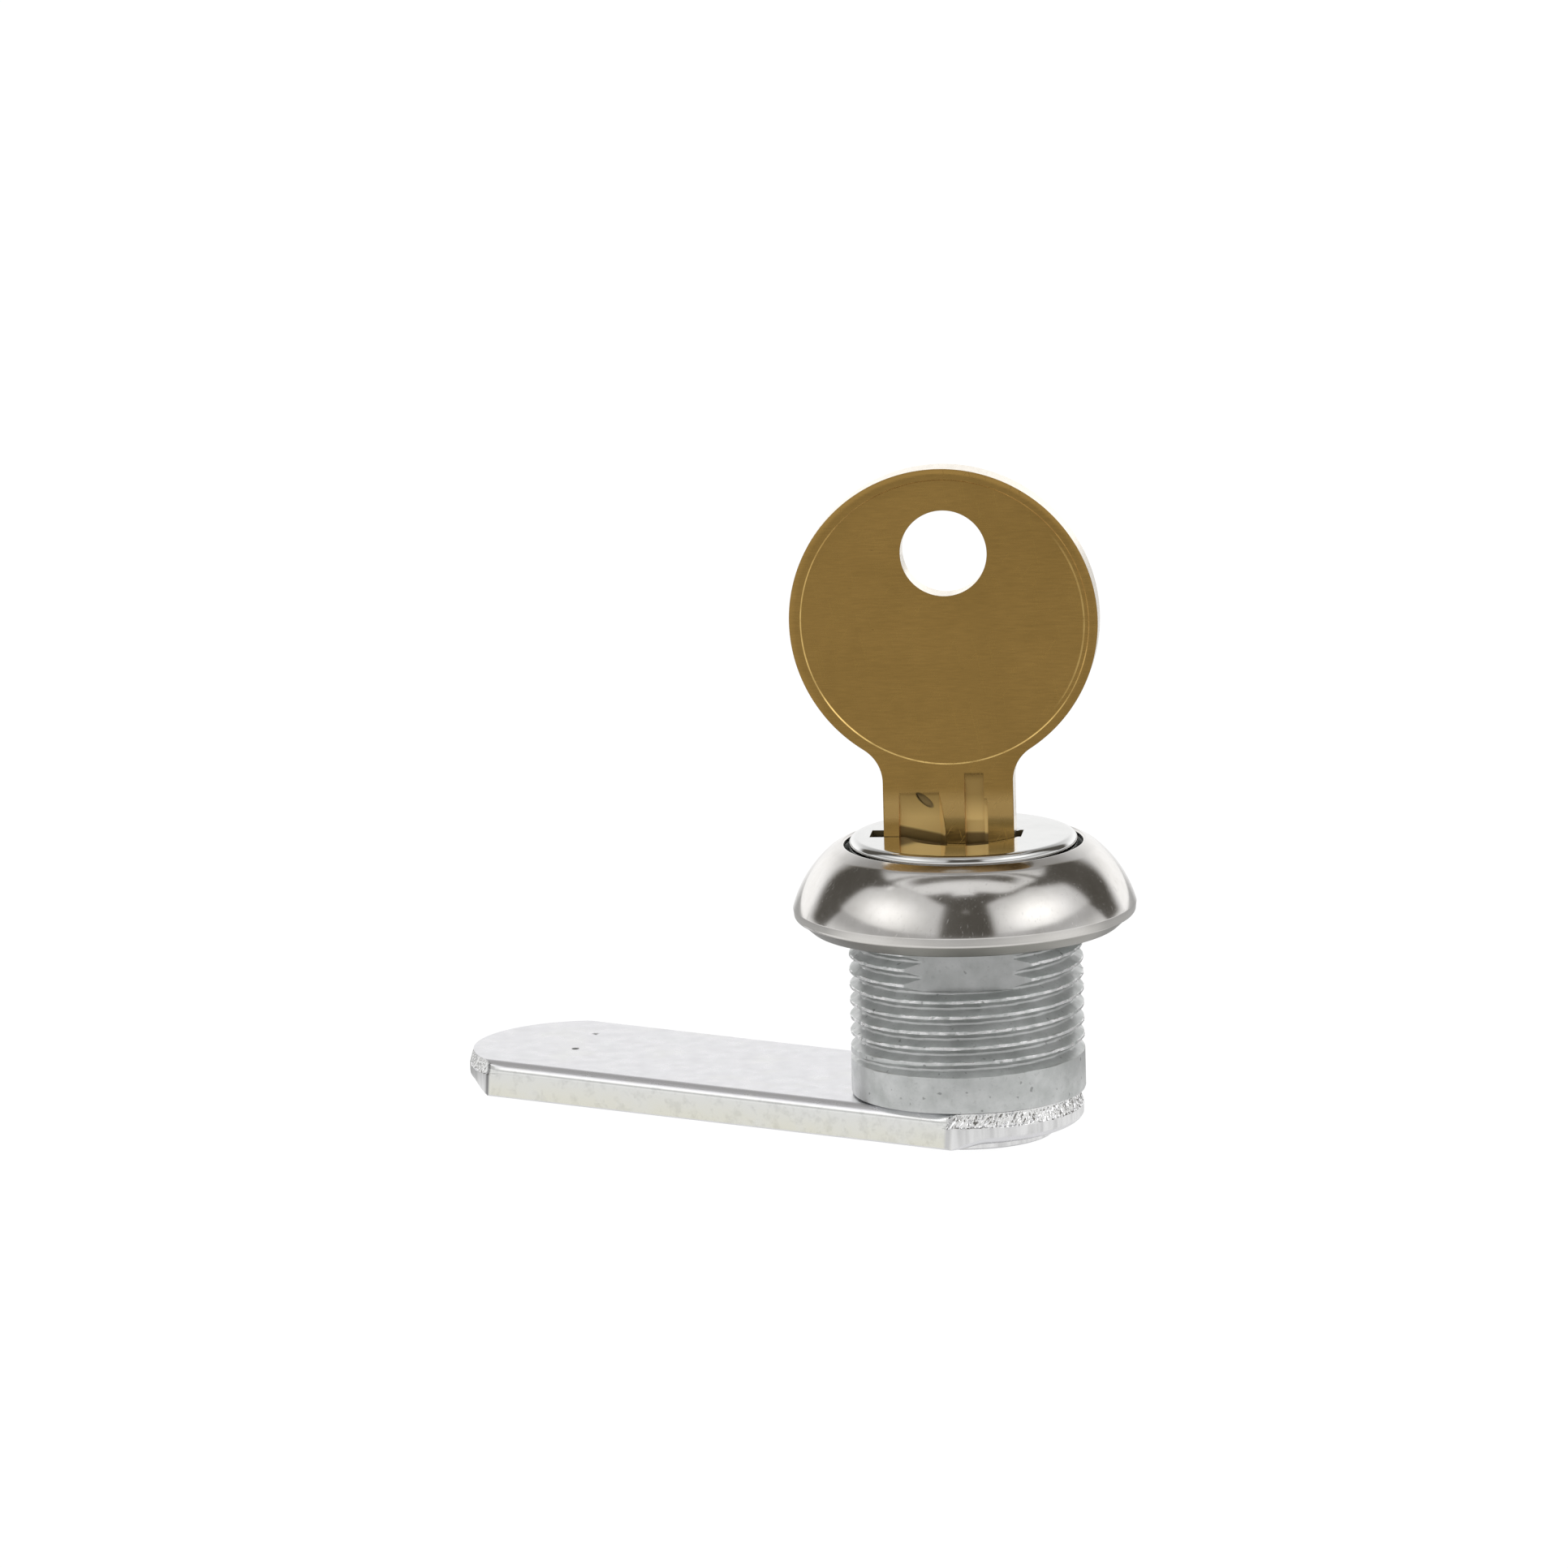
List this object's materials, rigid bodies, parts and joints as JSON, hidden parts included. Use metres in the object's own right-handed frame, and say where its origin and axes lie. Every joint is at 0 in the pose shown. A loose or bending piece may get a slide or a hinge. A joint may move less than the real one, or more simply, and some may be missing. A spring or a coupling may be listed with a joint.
{
  "type": "cam lock with key",
  "caption": "Cam lock with a threaded double-flat barrel, domed bezel, flat cam and a round-bow key in its plug, for a paper towel dispenser's door.",
  "frame": {"origin": "centre of the barrel's rear face, on the plug's axis", "axes": "+Z along the plug's axis out of the key side; +Y square to one of the barrel's two flats; +X to the right as the lock is seen from the key's flat side"},
  "size_m": [0.0548, 0.0436, 0.0559],
  "materials": {
    "die_cast": "satin zinc",
    "polished": "polished",
    "plated_steel": "bright zinc plate",
    "key_brass": "fine brushed",
    "wafer_brass": "stamped",
    "spring_steel": "drawn"
  },
  "bodies": {
    "housing": {"housing": "die_cast", "bezel": "polished"},
    "plug": {"plug": "die_cast", "plug_cap": "polished", "retainer": "wafer_brass", "retainer_spring": "spring_steel", "cam": "plated_steel", "cam_washer": "plated_steel", "cam_screw": "plated_steel", "wafer_spring_1": "spring_steel", "wafer_spring_2": "spring_steel", "wafer_spring_3": "spring_steel", "wafer_spring_4": "spring_steel", "wafer_spring_5": "spring_steel"},
    "key": {"key": "key_brass"},
    "wafer_1": {"wafer_1": "wafer_brass"},
    "wafer_2": {"wafer_2": "wafer_brass"},
    "wafer_3": {"wafer_3": "wafer_brass"},
    "wafer_4": {"wafer_4": "wafer_brass"},
    "wafer_5": {"wafer_5": "wafer_brass"}
  },
  "joints": [
    {"name": "plug_turn", "type": "hinge", "parent": "housing", "child": "plug", "pos_m": [0, 0, 0], "axis": [0, 0, 1], "range_deg": [-90, 0]},
    {"name": "key_pull", "type": "slide", "parent": "plug", "child": "key", "axis": [0, 0, 1], "range_m": [0, 0.019]},
    {"name": "wafer_1_slide", "type": "slide", "parent": "plug", "child": "wafer_1", "axis": [-0.9945, 0.1045, 0], "range_m": [0, 0.0009]},
    {"name": "wafer_2_slide", "type": "slide", "parent": "plug", "child": "wafer_2", "axis": [-0.9945, 0.1045, 0], "range_m": [0, 0.0009]},
    {"name": "wafer_3_slide", "type": "slide", "parent": "plug", "child": "wafer_3", "axis": [-0.9945, 0.1045, 0], "range_m": [0, 0.0009]},
    {"name": "wafer_4_slide", "type": "slide", "parent": "plug", "child": "wafer_4", "axis": [-0.9945, 0.1045, 0], "range_m": [0, 0.0009]},
    {"name": "wafer_5_slide", "type": "slide", "parent": "plug", "child": "wafer_5", "axis": [-0.9945, 0.1045, 0], "range_m": [0, 0.0009]}
  ],
  "couplings": [
    {"joint": "wafer_1_slide", "follows": "key_pull", "ratio": 0.0473},
    {"joint": "wafer_2_slide", "follows": "key_pull", "ratio": 0.0473},
    {"joint": "wafer_3_slide", "follows": "key_pull", "ratio": 0.0473},
    {"joint": "wafer_4_slide", "follows": "key_pull", "ratio": 0.0473},
    {"joint": "wafer_5_slide", "follows": "key_pull", "ratio": 0.0473}
  ]
}
